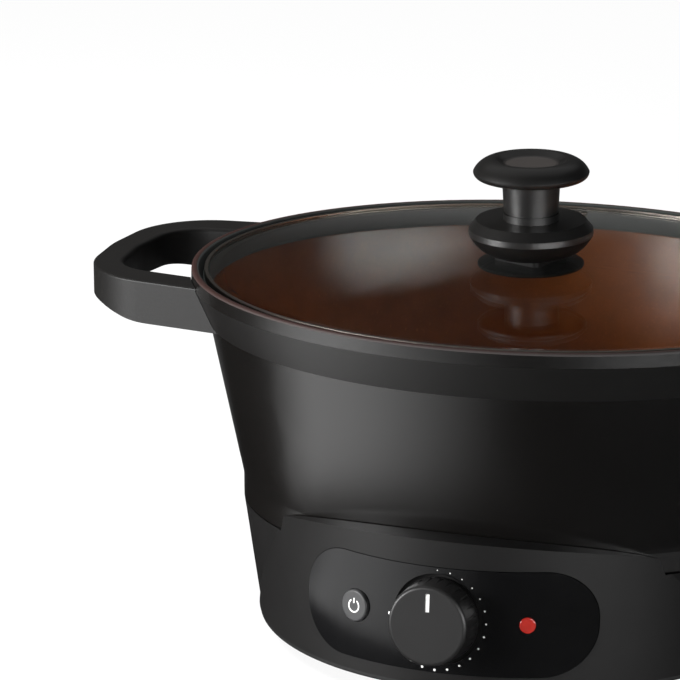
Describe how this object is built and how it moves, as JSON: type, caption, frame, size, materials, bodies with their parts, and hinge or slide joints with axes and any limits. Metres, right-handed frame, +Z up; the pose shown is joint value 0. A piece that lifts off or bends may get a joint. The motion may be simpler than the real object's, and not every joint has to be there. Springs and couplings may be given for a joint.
{
  "type": "multicooker",
  "caption": "Electric cooker: an oval black pot with loop handles and a glass lid with a knob, lifted out of a base with a control console.",
  "frame": {"origin": "on the table, at the middle of the whole object's length and depth", "axes": "+Z up, +X towards the right handle, -Y towards the console at the front"},
  "size_m": [0.4552, 0.2971, 0.2386],
  "materials": {
    "cast_black": "cast, with a satin black coat",
    "handle_black": "satin",
    "lid_glass": "polished",
    "lid_steel": "polished",
    "knob_black": "satin",
    "brass": "machined",
    "fastener_steel": "zinc plated",
    "base_black": "satin",
    "fascia": "gloss",
    "control_black": "satin",
    "mark_white": "gloss",
    "button_grey": "satin",
    "lens_red": "gloss",
    "shaft_steel": "turned",
    "switch_plastic": "moulded",
    "board_green": "circuit board",
    "well_steel": "satin",
    "cast_aluminium": "cast and turned",
    "element_steel": "oxidised",
    "ceramic": "glazed",
    "sensor_metal": "turned",
    "heat_plastic": "moulded",
    "fuse_metal": "plain",
    "gland_black": "moulded",
    "foot_rubber": "matte"
  },
  "bodies": {
    "base": {"base_shell": "base_black", "control_fascia": "fascia", "rotary_switch": "switch_plastic", "switch_nut": "fastener_steel", "button_switch": "switch_plastic", "indicator_lens": "lens_red", "control_board": "board_green", "board_screws": "fastener_steel", "well_liner": "well_steel", "heating_plate": "cast_aluminium", "heating_element": "element_steel", "terminal_bushings": "ceramic", "plate_screws": "fastener_steel", "sensor_housing": "heat_plastic", "sensor_spring": "element_steel", "thermal_fuse": "fuse_metal", "bottom_cover": "base_black", "base_screws": "fastener_steel", "liner_nuts": "fastener_steel", "cord_gland": "gland_black", "gland_nut": "gland_black", "terminal_block": "switch_plastic", "foot_front_left": "foot_rubber", "foot_front_right": "foot_rubber", "foot_rear_left": "foot_rubber", "foot_rear_right": "foot_rubber"},
    "pot": {"pot_body": "cast_black", "left_handle": "handle_black", "right_handle": "handle_black", "handle_screws": "fastener_steel"},
    "lid": {"lid_glass": "lid_glass", "lid_band": "lid_steel", "vent_eyelet": "lid_steel", "knob_guard": "knob_black", "lid_knob": "knob_black", "knob_insert": "brass", "knob_washer": "knob_black", "knob_screw": "fastener_steel"},
    "dial": {"control_dial": "control_black", "dial_pointer": "mark_white", "dial_shaft": "shaft_steel"},
    "button": {"power_button": "button_grey"},
    "sensor": {"temperature_sensor": "sensor_metal"}
  },
  "joints": [
    {"name": "pot_lift", "type": "slide", "parent": "base", "child": "pot", "axis": [0, 0, 1], "range_m": [0, 0.1]},
    {"name": "lid_lift", "type": "slide", "parent": "pot", "child": "lid", "axis": [0, 0, 1], "range_m": [0, 0.08]},
    {"name": "dial_turn", "type": "hinge", "parent": "base", "child": "dial", "pos_m": [0, -0.13303, 0.042], "axis": [0, -0.9962, 0.0872], "range_deg": [-270, 0]},
    {"name": "button_press", "type": "slide", "parent": "base", "child": "button", "axis": [0.3396, 0.9365, -0.0872], "range_m": [0, 0.0015], "stiffness_N_per_m": 400, "springref_m": -0.002},
    {"name": "sensor_press", "type": "slide", "parent": "base", "child": "sensor", "axis": [0, 0, -1], "range_m": [0, 0.0025], "stiffness_N_per_m": 300, "springref_m": -0.004, "deforming": ["sensor_spring"]}
  ]
}
